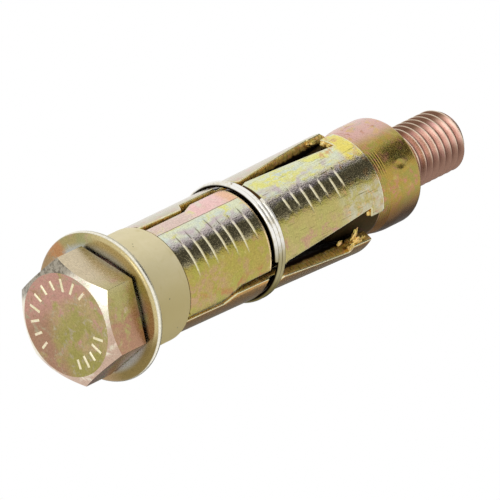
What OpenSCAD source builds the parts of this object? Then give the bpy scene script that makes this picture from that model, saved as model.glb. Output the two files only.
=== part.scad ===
// Shield anchor with a loose bolt: the bolt draws a cone nut into three segments, which spread.
// They are loose in the ring, and the second one already leans a little outwards.
// The bolt's axis is Z. The flat face of its head lies on z = 0, and the thread points up.
// Angles on the shield are measured from the middle of a segment, seen from outside with the
// thread up: a "right" edge lies to the right of the middle and a "left" edge to its left.

/* [Bolt] */
// Major diameter of the thread
thread_d = 9.85; // [8.6:0.05:10.4]
// Length of the bolt under its head
bolt_len = 80; // [76:1:140]
// Width of the head across its flats
head_af = 16.8; // [16:0.1:19]
// Height of the head
head_h = 6.7; // [5:0.1:9]
// Diameter of the flat on the end of the head
head_face_d = 15.8; // [13:0.1:16]
// Slope of the chamfer round that flat
head_chamfer_deg = 35; // [20:1:40]
// Angle of one corner of the head about the axis
hex_turn = 19.1; // [0:0.1:60]
// Length of the thread, from the end of the bolt
thread_len = 36; // [34:1:60]
// Pitch of the thread
thread_pitch = 1.5; // [1.25:0.05:1.75]
// Depth of the thread
thread_depth = 0.9; // [0.6:0.05:1]
// Chamfer at the end of the thread
tip_chamfer = 0.7; // [0.3:0.1:1.4]

/* [Washer] */
// Diameter of the washer
washer_d = 22.8; // [19:0.1:30]
// Thickness of the washer
washer_t = 1.5; // [1.1:0.1:3]
// Radius of the washer's edges
washer_edge = 0.4; // [0.1:0.05:0.5]
// Clearance of the washer round the thread
washer_clear = 0.35; // [0.1:0.05:0.8]
// Slack between the head and the washer
head_slack = 0.4; // [0.2:0.1:3]

/* [Ferrule] */
// Length of the ferrule
ferrule_len = 8.9; // [5:0.1:14]
// How far the ferrule stands proud of the shield
ferrule_proud = 0.1; // [0:0.05:0.4]
// Radius of the ferrule's rim next to the shield
ferrule_rim = 0.8; // [0.2:0.1:1]
// Radius of the ferrule's edge next to the washer
ferrule_foot = 0.25; // [0.1:0.05:0.6]
// Clearance of the ferrule round the thread
ferrule_clear = 0.4; // [0.1:0.05:0.6]

/* [Shield] */
// Diameter of the closed shield
shield_d = 17.4; // [16.8:0.1:19]
// Thickness of the sheet
sheet_t = 2; // [1.6:0.1:2.2]
// Length of the shield beyond the ferrule
shield_len = 44.8; // [42:0.2:60]
// How far the far end stands out beyond the closed diameter
flare = 0.25; // [0:0.05:0.6]
// Wall left at the mouth that the cone enters
mouth_wall = 1.35; // [1.1:0.05:1.5]
// Slope of the mouth's inner taper
mouth_deg = 8; // [6:0.5:8.5]
// Height of the bevel round the far end
bevel_h = 0.9; // [0.4:0.1:1.5]
// Depth of that bevel
bevel_w = 0.7; // [0.3:0.05:0.9]
// Length of the tongues that reach into the ferrule
tongue_len = 2.4; // [1:0.1:4]
// Step from the skin of the shield down to its tongues
tongue_step = 1.2; // [1:0.05:1.3]
// Clearance round the tongues and under the shield's shoulder
tongue_clear = 0.1; // [0.05:0.05:0.2]
// How far the second segment already leans outwards, in degrees
lean_deg = 1.5; // [0:0.1:1.8]
// Height of the line about which the segments rock, below the ring's groove
rock_drop = 2.2; // [1:0.1:3]

/* [Slots] */
// Right edge of a segment next to the ferrule, in degrees
right_head_deg = 57; // [54:0.5:58]
// Left edge next to the ferrule
left_head_deg = 53.2; // [50:0.2:54]
// Height of the sideways jog above the shoulder
jog_z = 8; // [4:0.2:12]
// Length of the jog
jog_len = 3.2; // [1:0.2:4]
// Right edge beyond the jog
right_mid_deg = 48.7; // [46:0.1:50]
// Left edge beyond the jog
left_mid_deg = 60.3; // [58:0.1:62]
// Height above the shoulder where the slot starts to open
vee_z = 20.8; // [20.8:0.2:24]
// Length of the step at the start of the vee
vee_step = 2; // [1:0.1:3]
// Left edge at the nick where the vee starts
nick_deg = 51.4; // [50:0.1:54]
// Right edge at the start of the vee
right_vee_deg = 42.7; // [40:0.1:46]
// Left edge at the start of the vee
left_vee_deg = 55.7; // [52:0.1:58]
// Right edge at the wide end of the vee
right_end_deg = 32.1; // [30:0.1:38]
// Left edge at the wide end of the vee
left_end_deg = 44.6; // [42:0.1:50]
// Height of the tabs that nearly close the vee
tab_h = 3.7; // [1.5:0.1:5]
// Right edge of the tabs
right_tab_deg = 40; // [38.5:0.1:44]
// Left edge of the tabs
left_tab_deg = 62; // [51:0.1:66]

/* [Spring ring] */
// Diameter of the ring's wire
wire_d = 0.75; // [0.5:0.05:0.9]
// Number of turns of the ring
ring_turns = 2.17; // [1.1:0.01:3.2]
// Gap between its turns
turn_gap = 0.03; // [0.01:0.01:0.1]
// Angle where the ring's upper end lies
ring_start_deg = -114.5; // [-180:0.5:180]
// Height of the ring's groove above the shoulder
groove_z = 16.6; // [13:0.1:17]
// Width of the groove
groove_w = 4; // [3.4:0.1:4.2]
// Depth of the groove
groove_depth = 0.35; // [0.2:0.05:0.5]
// Clearance between the ring and the floor of the groove
ring_clear = 0.25; // [0.2:0.01:0.35]

/* [Cone nut] */
// Diameter of the nut's collar
nut_d = 16.6; // [16:0.1:17.4]
// Length of the collar
collar_len = 4.8; // [2:0.1:8]
// Half angle of the cone
cone_deg = 10.1; // [10:0.1:12]
// Length of the cone inside the shield
cone_in = 8.4; // [7:0.1:10]
// Clearance between the cone and the shield's mouth
cone_clear = 0.05; // [0.03:0.01:0.15]
// Clearance of the nut's bore round the thread
nut_clear = 0.05; // [0.03:0.01:0.1]
// Radius of the collar's far rim
collar_rim = 0.6; // [0.2:0.1:1.2]
// Chamfer at the small end of the cone
cone_chamfer = 0.4; // [0.1:0.05:0.5]

/* [Hidden] */
$fn = 96;

// Radii
thread_r = thread_d / 2;
shank_r = thread_r - thread_depth / 2;
shield_r = shield_d / 2;
far_r = shield_r + flare;
inner_r = shield_r - sheet_t;
mouth_r = far_r - mouth_wall;
tongue_r = shield_r - tongue_step;
groove_r = shield_r - groove_depth;
ferrule_r = shield_r + ferrule_proud;
cone_r = mouth_r - cone_clear;
collar_r = nut_d / 2;
wire_r = wire_d / 2;
ring_r = groove_r + ring_clear + wire_r;

// Heights along the bolt
washer_z = head_h + head_slack;
ferrule_z = washer_z + washer_t;
ferrule_top = ferrule_z + ferrule_len;
shoulder_z = ferrule_top + tongue_clear;
far_z = shoulder_z + shield_len;
groove_low = shoulder_z + groove_z;
groove_high = groove_low + groove_w;
tab_z = far_z - tab_h;
mouth_z = far_z - (mouth_r - inner_r) / tan(mouth_deg);
small_end_z = far_z - cone_in;
collar_z = far_z + (collar_r - cone_r) / tan(cone_deg);
nut_top = collar_z + collar_len;
tip_z = head_h + bolt_len;
thread_z = tip_z - thread_len;

// A quarter circle of points round a corner, from angle a to angle b
corner_steps = 6;
function corner(cx, cy, r, a, b) = [
    for (i = [0:corner_steps])
        [cx + r * cos(a + (b - a) * i / corner_steps), cy + r * sin(a + (b - a) * i / corner_steps)]
];

// The rolled thread is a grid of points whose columns stand round the axis and whose rows climb
// with the helix: a sharp root and a narrow flat crest in each pitch. It runs on past both ends,
// where a fan of faces closes it, and is then cut square.
thread_sides = 24;
thread_form = [[0, 0], [0.44, 1], [0.56, 1]];
form_rows = len(thread_form);
run_on = 2;
thread_rows = form_rows * (ceil(thread_len / thread_pitch) + run_on + 1);
column = thread_rows + 1;
low_end = thread_sides * column;
high_end = low_end + 1;
last_column = (thread_sides - 1) * column;

function thread_point(i, j) =
    let (form = thread_form[j % form_rows])
    let (turns = floor(j / form_rows) + form[0] + i / thread_sides - run_on)
    let (z = thread_z + turns * thread_pitch)
    let (r = min(thread_r - thread_depth * (1 - form[1]), thread_r - z + tip_z - tip_chamfer))
    [r * cos(360 * i / thread_sides), r * sin(360 * i / thread_sides), z];

// The same row in the next column, which is one pitch up where the last column meets the first
function beside(i, j) = i < thread_sides - 1 ? (i + 1) * column + j : j + form_rows;
function top_row(i) = i < thread_sides - 1 ? thread_rows : thread_rows - form_rows;

thread_points = concat(
    [for (i = [0:thread_sides - 1]) for (j = [0:thread_rows]) thread_point(i, j)],
    [[0, 0, thread_z - (run_on + 1) * thread_pitch], [0, 0, tip_z + (run_on + 1) * thread_pitch]]
);
thread_faces = concat(
    [for (i = [0:thread_sides - 1]) for (j = [0:top_row(i) - 1])
        [i * column + j, i * column + j + 1, beside(i, j + 1), beside(i, j)]],
    [for (i = [0:thread_sides - 1]) [low_end, i * column, beside(i, 0)]],
    [for (j = [0:form_rows - 1]) [low_end, j + 1, j]],
    [for (i = [0:thread_sides - 1]) [high_end, beside(i, top_row(i)), i * column + top_row(i)]],
    [for (j = [top_row(thread_sides - 1):thread_rows - 1])
        [high_end, last_column + j, last_column + j + 1]]
);

module thread() {
    intersection() {
        polyhedron(points = thread_points, faces = thread_faces, convexity = 10);
        translate([0, 0, thread_z]) cylinder(h = thread_len, r = thread_d);
    }
}

module hex_bolt() {
    slope = tan(head_chamfer_deg);
    face_r = head_face_d / 2;
    color("darkkhaki")
    union() {
        // A hexagon whose corners are turned off by a cone
        intersection() {
            rotate([0, 0, hex_turn]) cylinder(h = head_h, d = head_af / cos(30), $fn = 6);
            cylinder(h = head_h, r1 = face_r, r2 = face_r + head_h / slope);
        }
        translate([0, 0, head_h]) cylinder(h = thread_z - head_h, r = shank_r);
        thread();
    }
}

module washer() {
    hole_r = thread_r + washer_clear;
    edge_r = washer_d / 2 - washer_edge;
    color("khaki")
    translate([0, 0, washer_z])
    rotate_extrude()
    polygon(concat(
        [[hole_r, 0]],
        corner(edge_r, washer_edge, washer_edge, -90, 0),
        corner(edge_r, washer_t - washer_edge, washer_edge, 0, 90),
        [[hole_r, washer_t]]
    ));
}

module ferrule() {
    hole_r = thread_r + ferrule_clear;
    seat_r = tongue_r + tongue_clear;
    seat_z = ferrule_len - tongue_len;
    color("wheat")
    translate([0, 0, ferrule_z])
    rotate_extrude()
    polygon(concat(
        [[hole_r, 0]],
        corner(ferrule_r - ferrule_foot, ferrule_foot, ferrule_foot, -90, 0),
        corner(ferrule_r - ferrule_rim, ferrule_len - ferrule_rim, ferrule_rim, 0, 90),
        [[seat_r, ferrule_len], [seat_r, seat_z], [hole_r, seat_z]]
    ));
}

// Half the section of the shield, from its tongues to its mouth
module shield_section() {
    tongue_z = shoulder_z - tongue_len + tongue_clear;
    polygon([
        [inner_r, tongue_z],
        [tongue_r, tongue_z],
        [tongue_r, shoulder_z],
        [shield_r, shoulder_z],
        [shield_r, groove_low],
        [groove_r, groove_low + groove_depth],
        [groove_r, groove_high - groove_depth],
        [shield_r, groove_high],
        [far_r, far_z - bevel_h],
        [far_r - bevel_w, far_z],
        [mouth_r, far_z],
        [inner_r, mouth_z]
    ]);
}

// The edges of a segment, as points of angle and height. The narrow slot runs on a little way
// into the vee, and the vee starts a little way outside it, so the two cuts cross cleanly.
cut_low = shoulder_z - 2 * tongue_len;
cut_high = far_z + tab_h;
jog_start = shoulder_z + jog_z;
jog_end = jog_start + jog_len;
vee_start = shoulder_z + vee_z;
vee_full = vee_start + vee_step;
slot_end = vee_start + vee_step / 2;
nick_z = vee_start + vee_step / 4;
slot_lead = 3;
right_slot = [
    [right_head_deg, cut_low],
    [right_head_deg, jog_start],
    [right_mid_deg, jog_end],
    [right_mid_deg, slot_end]
];
right_vee = [
    [right_mid_deg + slot_lead, vee_start],
    [right_vee_deg, vee_full],
    [right_end_deg, tab_z],
    [right_tab_deg, tab_z],
    [right_tab_deg, cut_high]
];
left_slot = [
    [-left_head_deg, cut_low],
    [-left_head_deg, jog_start],
    [-left_mid_deg, jog_end],
    [-left_mid_deg, slot_end]
];
left_vee = [
    [-left_mid_deg - slot_lead, vee_start],
    [-nick_deg, nick_z],
    [-left_vee_deg, vee_full],
    [-left_end_deg, tab_z],
    [-left_tab_deg, tab_z],
    [-left_tab_deg, cut_high]
];

// A segment is cut from a wider sector of the shield, whose middle faces front_deg
sector_deg = 66;
front_deg = -90;
segment_count = 3;
cut_reach = 2 * shield_r;
// The line about which a segment rocks, and how far each one leans at rest
rock_r = shield_r - sheet_t / 2;
rock_z = groove_low - rock_drop;
leans = [0, lean_deg, 0];

// Cuts away what lies beyond an edge, on its right with side 1 or its left with side -1.
// The cut is made along the radius through the middle of the edge.
module cut_beyond(edge, side) {
    angles = [for (p = edge) p[0]];
    middle = (min(angles) + max(angles)) / 2;
    last = len(edge) - 1;
    rotate([0, 0, middle])
    rotate([90, 0, 90])
    linear_extrude(height = cut_reach)
    polygon(concat(
        [for (p = edge) [far_r * sin(p[0] - middle), p[1]]],
        [[side * cut_reach, edge[last][1]], [side * cut_reach, edge[0][1]]]
    ));
}

module shield_segment(index) {
    color("goldenrod")
    rotate([0, 0, front_deg + index * 360 / segment_count])
    translate([rock_r, 0, rock_z])
    rotate([0, leans[index], 0])
    translate([-rock_r, 0, -rock_z])
    difference() {
        rotate([0, 0, -sector_deg]) rotate_extrude(angle = 2 * sector_deg) shield_section();
        cut_beyond(right_slot, 1);
        cut_beyond(right_vee, 1);
        cut_beyond(left_slot, -1);
        cut_beyond(left_vee, -1);
    }
}

// The wire of the ring, a helix swept as rings of points
wire_sides = 10;
steps_per_turn = 48;
ring_steps = round(steps_per_turn * ring_turns);
ring_pitch = wire_d + turn_gap;
ring_z = (groove_low + groove_high) / 2 + ring_pitch * ring_turns / 2;
function wire_point(i, j) =
    let (a = ring_start_deg + 360 * ring_turns * i / ring_steps)
    let (b = 360 * j / wire_sides)
    let (r = ring_r + wire_r * cos(b))
    [r * cos(a), r * sin(a), ring_z - ring_pitch * ring_turns * i / ring_steps + wire_r * sin(b)];
wire_points = [for (i = [0:ring_steps]) for (j = [0:wire_sides - 1]) wire_point(i, j)];
wire_faces = concat(
    [[for (j = [0:wire_sides - 1]) j]],
    [for (i = [0:ring_steps - 1]) for (j = [0:wire_sides - 1])
        let (k = (j + 1) % wire_sides)
        [i * wire_sides + j, (i + 1) * wire_sides + j, (i + 1) * wire_sides + k, i * wire_sides + k]],
    [[for (j = [wire_sides - 1:-1:0]) ring_steps * wire_sides + j]]
);

module spring_ring() {
    color("silver") polyhedron(points = wire_points, faces = wire_faces, convexity = 6);
}

module cone_nut() {
    bore_r = thread_r + nut_clear;
    small_r = cone_r - cone_in * tan(cone_deg);
    color("peru")
    rotate_extrude()
    polygon(concat(
        [
            [bore_r, small_end_z],
            [small_r - cone_chamfer, small_end_z],
            [small_r + cone_chamfer * tan(cone_deg), small_end_z + cone_chamfer],
            [collar_r, collar_z]
        ],
        corner(collar_r - collar_rim, nut_top - collar_rim, collar_rim, 0, 90),
        [[bore_r, nut_top]]
    ));
}

hex_bolt();
washer();
ferrule();
shield_segment(0);  // shield_segment_1
shield_segment(1);  // shield_segment_2
shield_segment(2);  // shield_segment_3
spring_ring();
cone_nut();
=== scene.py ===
import math
import random

import bpy
import bmesh
import numpy as np
from mathutils import Matrix, Vector, noise
from mathutils.geometry import delaunay_2d_cdt


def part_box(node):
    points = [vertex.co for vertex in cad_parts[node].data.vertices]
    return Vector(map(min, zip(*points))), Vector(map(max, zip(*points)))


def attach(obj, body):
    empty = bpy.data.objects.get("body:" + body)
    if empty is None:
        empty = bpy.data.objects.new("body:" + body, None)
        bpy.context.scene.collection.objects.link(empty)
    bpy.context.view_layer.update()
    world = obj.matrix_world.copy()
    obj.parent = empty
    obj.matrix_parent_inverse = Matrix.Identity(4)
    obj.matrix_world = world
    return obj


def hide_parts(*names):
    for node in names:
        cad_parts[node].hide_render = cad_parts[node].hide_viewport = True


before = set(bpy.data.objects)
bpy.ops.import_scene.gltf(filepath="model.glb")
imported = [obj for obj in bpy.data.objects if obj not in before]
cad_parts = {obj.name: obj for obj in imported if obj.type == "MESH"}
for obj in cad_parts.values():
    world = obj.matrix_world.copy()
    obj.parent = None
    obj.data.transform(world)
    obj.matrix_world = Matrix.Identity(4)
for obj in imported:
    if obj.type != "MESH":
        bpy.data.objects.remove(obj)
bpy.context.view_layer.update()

mm = 0.001


# The bolt's head is forged to a hexagon, and its corners are turned off by a cone. The steel is zinc
# plated and dipped in a yellow chromate, which leaves a film in patches of gold, olive and dusty pink.
# Raised forging marks stand round the rim of the end face, and here they are plain bars.

def linear(hex_colour):
    """The linear colour of an sRGB hex colour such as c8bb9e."""
    shares = [int(hex_colour[i:i + 2], 16) / 255 for i in (0, 2, 4)]
    return [s / 12.92 if s <= 0.04045 else ((s + 0.055) / 1.055) ** 2.4 for s in shares] + [1.0]


def add(tree, kind, links=None, **settings):
    """Adds a node with its settings, and fills its sockets from other nodes' sockets or from values."""
    node = tree.nodes.new("ShaderNode" + kind)
    for name, value in settings.items():
        setattr(node, name, value)
    for socket, source in (links or {}).items():
        if isinstance(source, bpy.types.NodeSocket):
            tree.links.new(source, node.inputs[socket])
        else:
            node.inputs[socket].default_value = source
    return node


def blank_material(name):
    """An empty material, its node tree and its output."""
    material = bpy.data.materials.new(name)
    material.use_nodes = True
    tree = material.node_tree
    tree.nodes.clear()
    return material, tree, add(tree, "OutputMaterial")


def millimetres(tree):
    """The object's own coordinates in millimetres."""
    spot = add(tree, "TexCoord").outputs["Object"]
    return add(tree, "VectorMath", {0: spot, "Scale": 1 / mm}, operation="SCALE").outputs[0]


def from_axis(tree, place):
    """The distance from the bolt's axis in millimetres."""
    across = add(tree, "VectorMath", {0: place, 1: (1, 1, 0)}, operation="MULTIPLY").outputs[0]
    return add(tree, "VectorMath", {0: across}, operation="LENGTH").outputs["Value"]


def patches(tree, place, size_mm, low, high, seed, detail=4):
    """A mask of soft-edged patches of about that size, 0 outside them and 1 inside."""
    moved = add(tree, "VectorMath", {0: place, 1: (seed * 37.0, seed * 11.0, seed * 23.0)}, operation="ADD")
    cloud = add(tree, "TexNoise", {
        "Vector": moved.outputs[0], "Scale": 1 / size_mm, "Detail": detail,
        "Roughness": 0.62, "Distortion": 0.5})
    mask = add(tree, "MapRange", {
        "Value": cloud.outputs[0], "From Min": low, "From Max": high}, interpolation_type="SMOOTHSTEP")
    return mask.outputs[0]


def between(tree, value, low, high, soft):
    """A mask that is 1 between two values and fades out over the soft width at each of them."""
    half = soft / 2
    rising = add(tree, "MapRange", {
        "Value": value, "From Min": low - half, "From Max": low + half}, interpolation_type="SMOOTHSTEP")
    falling = add(tree, "MapRange", {
        "Value": value, "From Min": high + half, "From Max": high - half}, interpolation_type="SMOOTHSTEP")
    return overlap(tree, rising.outputs[0], falling.outputs[0])


def overlap(tree, *masks):
    """The mask where all of these masks overlap."""
    shared = masks[0]
    for mask in masks[1:]:
        shared = add(tree, "Math", {0: shared, 1: mask}, operation="MULTIPLY").outputs[0]
    return shared


def laid_over(tree, colour, coats):
    """The colour under a number of coats, each a share and an sRGB hex colour."""
    for share, hex_colour in coats:
        coat = add(tree, "Mix", {0: share, 6: colour, 7: linear(hex_colour)}, data_type="RGBA")
        colour = coat.outputs[2]
    return colour


def passivated_zinc(
        name, film, patch_mm, roughness, grain_mm=0.16, grain_depth_mm=0.012, spread=0.16, painter=None):
    """Yellow chromate on zinc: a metal whose thin film drifts from gold to olive, pink and grey, in patches
    over a crystalline grain that breaks up every reflection. The real crystals are far too fine to show, so
    the grain is drawn 0.14 to 0.26 mm wide. A painter lays more coats over the patches."""
    gold, olive, pink, pale = film
    material, tree, output = blank_material(name)
    place = millimetres(tree)
    colour = laid_over(tree, linear(gold), [
        (patches(tree, place, patch_mm, 0.42, 0.60, 1), olive),
        (patches(tree, place, patch_mm * 0.8, 0.52, 0.66, 2), pink),
        (patches(tree, place, patch_mm * 0.6, 0.56, 0.72, 3), pale)])
    if painter:
        colour = painter(tree, place, colour)
    crystals = add(tree, "TexNoise", {
        "Vector": place, "Scale": 1 / grain_mm, "Detail": 2, "Roughness": 0.7})
    grain = crystals.outputs[0]
    speck = add(tree, "MapRange", {
        "Value": grain, "From Min": 0.3, "From Max": 0.7, "To Min": 0.80, "To Max": 1.14})
    shade = add(tree, "VectorMath", {0: colour, "Scale": speck.outputs[0]}, operation="SCALE").outputs[0]
    gloss = add(tree, "MapRange", {
        "Value": grain, "From Min": 0.3, "From Max": 0.7,
        "To Min": roughness - spread * 0.4, "To Max": roughness + spread * 0.6})
    bump = add(tree, "Bump", {"Height": grain, "Strength": 1.0, "Distance": grain_depth_mm * mm})
    shader = add(tree, "BsdfPrincipled", {
        "Base Color": shade, "Roughness": gloss.outputs[0], "Normal": bump.outputs[0]})
    shader.inputs["Metallic"].default_value = 1.0
    tree.links.new(shader.outputs[0], output.inputs[0])
    return material


def skin(rings, closed=False):
    """Points and faces of a tube through rings of points. Its ends are joined if closed, else capped."""
    count = len(rings[0])
    points = [point for ring in rings for point in ring]
    faces = []
    for i in range(len(rings) if closed else len(rings) - 1):
        low, high = i * count, (i + 1) % len(rings) * count
        faces += [(low + j, low + (j + 1) % count, high + (j + 1) % count, high + j) for j in range(count)]
    if not closed:
        faces.append(tuple(range(count))[::-1])
        faces.append(tuple(range(len(points) - count, len(points))))
    return points, faces


def piece(name, parts, materials, body, nodes, sharp_deg=32):
    """A mesh object made of several parts, each its points, its faces and the index of its material."""
    mesh = bpy.data.meshes.new(name)
    points, faces, kinds = [], [], []
    for part_points, part_faces, kind in parts:
        start = len(points)
        points += [tuple(p) for p in part_points]
        faces += [tuple(start + i for i in face) for face in part_faces]
        kinds += [kind] * len(part_faces)
    mesh.from_pydata(points, [], faces)
    mesh.polygons.foreach_set("material_index", kinds)
    shape = bmesh.new()
    shape.from_mesh(mesh)
    bmesh.ops.remove_doubles(shape, verts=shape.verts, dist=0.0005 * mm)
    bmesh.ops.recalc_face_normals(shape, faces=shape.faces)
    shape.to_mesh(mesh)
    shape.free()
    for material in materials:
        mesh.materials.append(material)
    mesh.shade_smooth()
    mesh.set_sharp_from_angle(angle=math.radians(sharp_deg))
    made = bpy.data.objects.new(name, mesh)
    bpy.context.scene.collection.objects.link(made)
    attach(made, body)
    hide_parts(*nodes)
    return made


def round_corner(r, z, radius, start_deg, end_deg, steps=5):
    """Points of (r, z) round a corner whose arc has its centre there."""
    turns = [math.radians(start_deg + (end_deg - start_deg) * i / steps) for i in range(steps + 1)]
    return [(r + radius * math.cos(t), z + radius * math.sin(t)) for t in turns]


head_flats = 16.9 * mm
head_off_centre = Vector((0.20, 0.02, 0)) * mm
head_height = 6.7 * mm
head_turn = math.radians(19.1)
head_face_r = 7.9 * mm
chamfer_slope = math.tan(math.radians(35))
face_dish = 0.14 * mm
edge_round = 0.14 * mm
corner_round = 0.12 * mm
bearing_r = 8.0 * mm
bearing_slope = 0.3 * mm
bearing_height = 0.35 * mm
arc_centre = (head_flats / 2 - corner_round) / math.cos(math.radians(30))
arc_start = math.degrees(math.atan(arc_centre * math.sin(math.radians(30)) / (head_flats / 2)))
arc_step = (30 - arc_start) / 3

# Closer angles round each corner of the hexagon, so that its edge catches a thin line of light
before_corner = [arc_start, arc_start + arc_step, arc_start + 2 * arc_step]
flat_degrees = [-30] + [-degree for degree in before_corner[::-1]] + list(range(-26, 27, 4)) + before_corner
head_angles = [(60 * side + 30 + degree, degree) for side in range(6) for degree in flat_degrees]
count = len(head_angles)


def hexagon(shrink=0.0):
    """The hexagon's radius at each angle, with its corners rounded off."""
    radii = []
    for _, degree in head_angles:
        off = math.radians(30 - abs(degree))
        if abs(degree) < arc_start:
            r = head_flats / 2 / math.cos(math.radians(degree))
        else:
            aside = arc_centre * math.sin(off)
            r = arc_centre * math.cos(off) + math.sqrt(corner_round ** 2 - aside ** 2)
        radii.append(r - shrink)
    return radii


def head_ring(radii, heights):
    """A ring of points round the head at the angles of its hexagon."""
    turns = [head_turn + math.radians(angle) for angle, _ in head_angles]
    return [(r * math.cos(t), r * math.sin(t), z) for r, t, z in zip(radii, turns, heights)]


face_profile = [
    (0.3 * mm, face_dish), (2.5 * mm, face_dish), (4.5 * mm, face_dish),
    (head_face_r - 1.1 * mm, face_dish * 0.95), (head_face_r - 0.55 * mm, face_dish * 0.6),
    (head_face_r - 0.3 * mm, face_dish * 0.15),
    (head_face_r - 0.18 * mm, 0.0), (head_face_r - 0.03 * mm, 0.01 * mm)]
rings = [head_ring([r] * count, [z] * count) for r, z in face_profile]
chamfer_from = len(rings) - 1
chamfer_top = [(r - head_face_r) * chamfer_slope for r in hexagon()]
inner_top = [(r - head_face_r) * chamfer_slope for r in hexagon(edge_round)]
rings.append(head_ring([head_face_r + 0.08 * mm] * count, [0.08 * mm * chamfer_slope] * count))
rings.append(head_ring(hexagon(edge_round), inner_top))
rings.append(head_ring(hexagon(edge_round * 0.2), [z - 0.03 * mm for z in chamfer_top]))
chamfer_to = len(rings) - 1
rings.append(head_ring(hexagon(), [z + edge_round for z in chamfer_top]))
rings.append(head_ring(hexagon(), [head_height / 2] * count))
rings.append(head_ring(hexagon(), [head_height - edge_round] * count))
rings.append(head_ring(hexagon(edge_round), [head_height] * count))
# The bearing face stands out a little under the head, and its middle is hidden in the shank
for r, rise in ((bearing_r, 0), (bearing_r - bearing_slope, bearing_height), (4.0 * mm, bearing_height)):
    rings.append(head_ring([r] * count, [head_height + rise] * count))
head_points, head_faces = skin(rings)
chamfer_faces = head_faces[chamfer_from * count:chamfer_to * count]
other_faces = head_faces[:chamfer_from * count] + head_faces[chamfer_to * count:]

# Forging marks: short raised bars that lean this way and that, in two groups round the rim. A group is its
# first and last angle and how many bars it has, and a bar's levels are its heights and shares of its width
mark_groups = [(78, 243, 10), (-50, 12, 5)]
mark_r = 6.0 * mm
mark_half = Vector((0.95 * mm, 0.19 * mm))
mark_height = 0.12 * mm
mark_levels = [
    (face_dish + 0.02 * mm, 1.25), (face_dish - mark_height * 0.6, 1.0), (face_dish - mark_height, 0.55)]
corner_signs = [(-1, -1), (1, -1), (1, 1), (-1, 1)]
marks = []
lean = random.Random(4)
for first_deg, last_deg, number in mark_groups:
    for i in range(number):
        around = math.radians(first_deg + (last_deg - first_deg) * i / (number - 1))
        turn = around + math.radians(lean.uniform(-14, 14))
        along = Vector((math.cos(turn), math.sin(turn), 0)) * mark_half.x * lean.uniform(0.75, 1.1)
        across = Vector((-math.sin(turn), math.cos(turn), 0)) * mark_half.y
        centre = Vector((mark_r * math.cos(around), mark_r * math.sin(around), 0))
        bar = []
        for z, share in mark_levels:
            level = centre + Vector((0, 0, z))
            long_half = along * (0.9 + share * 0.1)
            bar.append([level + long_half * a + across * share * b for a, b in corner_signs])
        marks.append((*skin(bar), 1))


def rosy_and_olive(tree, place, colour):
    """Rosy brown on one side of the end face and olive across the other, and paler films on the flats."""
    x, y, _ = add(tree, "SeparateXYZ", {0: place}).outputs
    middle = overlap(tree, between(tree, x, 0.0, 99, 4.0), between(tree, y, -4.5, 3.5, 3.0))
    rosy = overlap(tree, between(tree, y, 2.4, 99, 3.0), patches(tree, place, 3.0, 0.34, 0.52, 4))
    green = overlap(tree, middle, patches(tree, place, 3.4, 0.30, 0.48, 5))
    blush = overlap(tree, between(tree, x, -99, -2.5, 3.0), patches(tree, place, 2.0, 0.30, 0.48, 6))
    grey = patches(tree, place, 1.3, 0.54, 0.70, 8)
    flats = between(tree, from_axis(tree, place), 8.2, 99, 0.3)
    low_flats = overlap(tree, flats, between(tree, x, 2.0, 99, 3.0))
    cream = overlap(tree, flats, between(tree, x, -99, -2.5, 5.0))
    return laid_over(tree, colour, [
        (rosy, "a8826a"), (green, "9f9655"), (blush, "c09384"), (grey, "aea184"),
        (overlap(tree, flats, patches(tree, place, 2.4, 0.40, 0.56, 9)), "b0a76c"), (cream, "d0c0a2"),
        (overlap(tree, low_flats, patches(tree, place, 2.6, 0.34, 0.52, 10)), "b1886e")])


def mottled_at_one_end(tree, place, colour):
    """Cream along the chamfer, pink at its low end, and mottled dark grey painted shade where it turns away
    above.
    """
    x = add(tree, "SeparateXYZ", {0: place}).outputs[0]
    # Painted shade: the top of the chamfer, where it turns away, is darkened to a mottled grey
    top = between(tree, x, -99, -6.0, 1.6)
    specks = overlap(tree, top, patches(tree, place, 0.7, 0.44, 0.62, 5))
    bottom = overlap(tree, between(tree, x, 3.0, 99, 3.0), patches(tree, place, 2.2, 0.30, 0.50, 6))
    return laid_over(tree, colour, [(top, "a8a090"), (specks, "756d60"), (bottom, "c9ac98")])


# The forged skin is a little rough, so its gold, olive and pink patches have a soft, grainy sheen
head_film = passivated_zinc(
    "forged_head_yellow_zinc", ("b39d70", "a59c5e", "bf9484", "c9b89a"), patch_mm=2.2, roughness=0.27,
    grain_mm=0.26, grain_depth_mm=0.016, painter=rosy_and_olive)
# The chamfer is turned, so its film is thin; its cream is partly a painted highlight, the band of light it
# catches
chamfer_film = passivated_zinc(
    "turned_chamfer_cream_zinc", ("f2ead6", "ece6cc", "efd8c8", "faf6ea"), patch_mm=1.6, roughness=0.22,
    grain_mm=0.20, grain_depth_mm=0.010, painter=mottled_at_one_end)
# The marks are rubbed nearly bare, so they show pale cream against the film
mark_film = passivated_zinc(
    "rubbed_marks_pale_zinc", ("f2e8c6", "ece2b8", "eedac0", "f6f0de"), patch_mm=1.5, roughness=0.22)
head_parts = []
for points, faces, kind in [(head_points, other_faces, 0), (head_points, chamfer_faces, 2)] + marks:
    head_parts.append(([Vector(p) + head_off_centre for p in points], faces, kind))
head_films = [head_film, mark_film, chamfer_film]
piece("bolt_head", head_parts, head_films, "bolt", ["hex_bolt"], sharp_deg=26)


# The shank is one piece with the head. Its thread is rolled, so the crests are smooth; they are painted
# bright as highlights and the roots dark as shade, and the film on it has turned a coppery pink. The end is
# chamfered to start the nut.

thread_r = 4.925 * mm
thread_pitch = 1.5 * mm
thread_depth = 0.90 * mm
thread_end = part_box("hex_bolt")[1].z
thread_length = 36 * mm
thread_start = thread_end - thread_length
shank_r = thread_r - thread_depth / 2
tip_chamfer = 0.75 * mm
thread_sides = 72
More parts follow.
